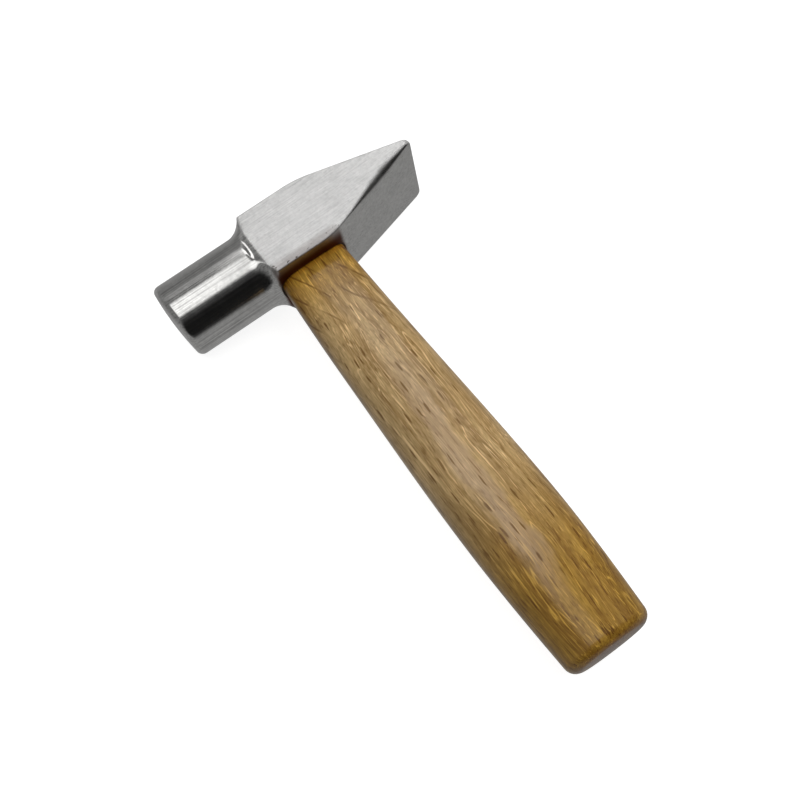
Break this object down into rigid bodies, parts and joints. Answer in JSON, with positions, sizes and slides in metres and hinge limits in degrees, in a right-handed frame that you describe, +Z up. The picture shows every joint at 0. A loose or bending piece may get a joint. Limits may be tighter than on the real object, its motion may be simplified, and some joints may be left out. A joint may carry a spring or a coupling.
{
  "type": "tack hammer",
  "caption": "Short wooden-handled tack hammer: round poll with a crowned striking face, square body and a slim cross pein on a swelled oval grip.",
  "frame": {"origin": "on the plane of the lower cheek, under the middle of the eye, where the handle's axis and the head's axis cross", "axes": "+X along the handle from the head to the butt; +Y along the head from the striking face to the pein; +Z up, out of the upper cheek"},
  "size_m": [0.1459, 0.0797, 0.0241],
  "materials": {
    "head_steel": "polished poll, satin ground cheeks",
    "handle_wood": "clear lacquered open-pored hardwood",
    "adhesive": "dark set adhesive",
    "wedge_wood": "bare end grain",
    "wedge_steel": "plain mild steel"
  },
  "bodies": {
    "root": {"head": "head_steel", "handle": "handle_wood", "eye_adhesive": "adhesive", "wood_wedge": "wedge_wood", "steel_wedge": "wedge_steel"}
  },
  "joints": []
}
